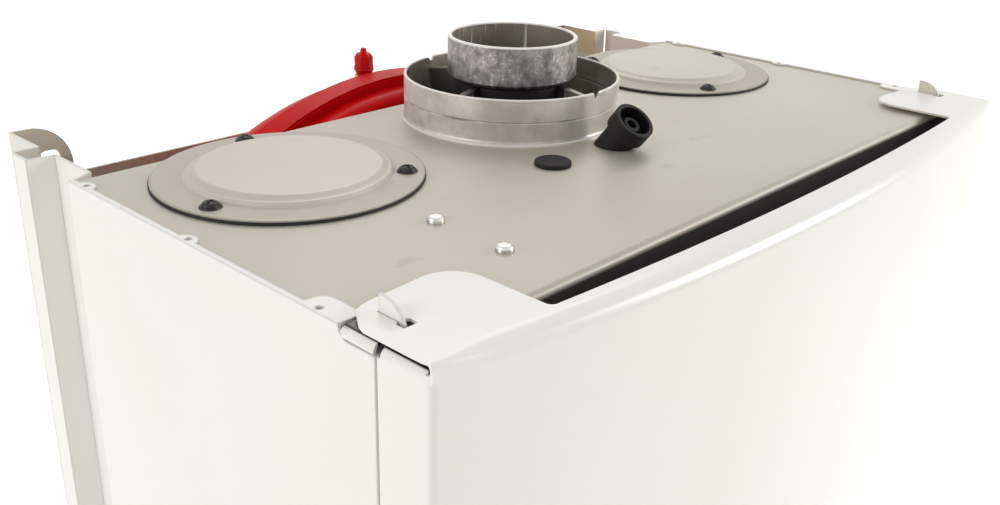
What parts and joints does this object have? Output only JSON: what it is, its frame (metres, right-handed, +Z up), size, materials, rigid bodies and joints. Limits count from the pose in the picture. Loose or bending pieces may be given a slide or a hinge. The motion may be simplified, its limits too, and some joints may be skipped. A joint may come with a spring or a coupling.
{
  "type": "wall-hung gas boiler",
  "caption": "White cased wall-hung gas boiler with a concentric flue outlet on its steel top, red expansion vessel behind and a tilting control panel below.",
  "frame": {"origin": "midway between the centres of the two hanging slots, on the wall plane", "axes": "+X to the right seen from the front, +Y towards the wall, so the front faces -Y, +Z up"},
  "size_m": [0.4, 0.308, 0.7895],
  "materials": {
    "galvanised": "zinc-coated sheet steel, satin",
    "white_paint": "white powder coat, fine texture",
    "steel": "coated sheet steel, satin",
    "seal_rubber": "black sponge rubber",
    "glass": "clear",
    "cast_alloy": "cast and turned, satin",
    "dull_alloy": "dull cast, mottled",
    "cover_steel": "pressed sheet, satin",
    "dark_screw": "black oxide",
    "plug_rubber": "moulded rubber",
    "nozzle_rubber": "moulded rubber",
    "bright_screw": "bright zinc",
    "red_paint": "glossy red paint",
    "brass": "forged and turned",
    "red_cap": "moulded plastic",
    "steel_pipe": "bent steel tube, satin",
    "wheel_alloy": "pressed",
    "motor_metal": "stacked plates and dark paint",
    "copper": "drawn copper tube and fins",
    "fibre": "pressed ceramic fibre, matt",
    "stainless": "stainless, brushed",
    "ceramic": "glazed ceramic",
    "switch_plastic": "moulded",
    "hose": "silicone hose",
    "pump_iron": "cast, painted",
    "pump_paint": "dark paint",
    "black_plastic": "moulded",
    "red_plastic": "moulded",
    "blue_plastic": "moulded",
    "white_plastic": "fine textured moulding",
    "board": "circuit board",
    "dark_window": "smoked, polished",
    "knob_plastic": "moulded grey",
    "button_plastic": "moulded grey",
    "gauge_face": "moulded with a pale dial",
    "pointer_black": "moulded"
  },
  "bodies": {
    "boiler": {"rear_frame": "galvanised", "side_panel_left": "white_paint", "side_panel_right": "white_paint", "chamber_top": "steel", "chamber_shell": "steel", "chamber_front": "steel", "chamber_seal": "seal_rubber", "sight_glass": "glass", "flue_collar": "cast_alloy", "flue_spigot": "dull_alloy", "air_cover_left": "cover_steel", "air_cover_right": "cover_steel", "cover_gaskets": "seal_rubber", "air_cover_screws": "dark_screw", "test_plug": "plug_rubber", "test_nozzle": "nozzle_rubber", "top_screws": "bright_screw", "expansion_vessel": "red_paint", "vessel_valve": "brass", "vessel_pipe": "steel_pipe", "fume_hood": "steel", "fan_housing": "steel", "fan_motor": "motor_metal", "heat_exchanger": "copper", "combustion_box": "steel", "fibre_lining": "fibre", "burner_rack": "stainless", "gas_manifold": "brass", "electrodes": "ceramic", "pressure_switch": "switch_plastic", "sensing_tubes": "hose", "gas_valve": "dull_alloy", "gas_pipe": "copper", "pump_body": "pump_iron", "pump_motor": "pump_paint", "return_block": "brass", "flow_block": "brass", "diverter_motor": "black_plastic", "plate_exchanger": "stainless", "relief_valve": "brass", "filling_tap": "brass", "flow_pipe": "copper", "return_pipe": "copper", "connection_tails": "brass"},
    "cover": {"front_cover": "white_paint"},
    "controls": {"control_box": "black_plastic", "control_fascia": "white_plastic", "circuit_board": "board", "display_window": "dark_window", "gauge_body": "gauge_face"},
    "heating_knob": {"knob_heating": "knob_plastic"},
    "water_knob": {"knob_water": "knob_plastic"},
    "reset_key": {"reset_button": "button_plastic"},
    "mode_key": {"mode_button": "button_plastic"},
    "pointer": {"gauge_pointer": "pointer_black"},
    "fan_wheel": {"fan_impeller": "wheel_alloy"},
    "dust_cap": {"vessel_cap": "red_cap"},
    "relief_handle": {"relief_knob": "red_plastic"},
    "filling_handle": {"filling_knob": "blue_plastic"}
  },
  "joints": [
    {"name": "cover_lift", "type": "slide", "parent": "boiler", "child": "cover", "axis": [0, 0, 1], "range_m": [0, 0.012]},
    {"name": "controls_tilt", "type": "hinge", "parent": "boiler", "child": "controls", "pos_m": [0, -0.226, -0.708], "axis": [1, 0, 0], "range_deg": [0, 75]},
    {"name": "heating_turn", "type": "hinge", "parent": "controls", "child": "heating_knob", "pos_m": [-0.062, -0.29, -0.6565], "axis": [0, 1, 0], "range_deg": [-135, 135]},
    {"name": "water_turn", "type": "hinge", "parent": "controls", "child": "water_knob", "pos_m": [0.062, -0.29, -0.6565], "axis": [0, 1, 0], "range_deg": [-135, 135]},
    {"name": "reset_press", "type": "slide", "parent": "controls", "child": "reset_key", "axis": [0, 1, 0], "range_m": [0, 0.0015], "stiffness_N_per_m": 600, "springref_m": -0.0005},
    {"name": "mode_press", "type": "slide", "parent": "controls", "child": "mode_key", "axis": [0, 1, 0], "range_m": [0, 0.0015], "stiffness_N_per_m": 600, "springref_m": -0.0005},
    {"name": "pressure_needle", "type": "hinge", "parent": "controls", "child": "pointer", "pos_m": [0.135, -0.29, -0.6565], "axis": [0, 1, 0], "range_deg": [0, 270], "stiffness_Nm_per_rad": 0.00002},
    {"name": "fan_spin", "type": "hinge", "parent": "boiler", "child": "fan_wheel", "pos_m": [0.03, -0.154, -0.06], "axis": [0, 1, 0], "continuous": true},
    {"name": "cap_turn", "type": "hinge", "parent": "boiler", "child": "dust_cap", "pos_m": [-0.015, -0.034, 0.024], "axis": [0, 0, 1], "continuous": true},
    {"name": "relief_turn", "type": "hinge", "parent": "boiler", "child": "relief_handle", "pos_m": [0.13, -0.17, -0.625], "axis": [0, 1, 0], "range_deg": [0, 90]},
    {"name": "filling_turn", "type": "hinge", "parent": "boiler", "child": "filling_handle", "pos_m": [0.098, -0.11, -0.7], "axis": [0, 0, 1], "range_deg": [0, 180]}
  ]
}
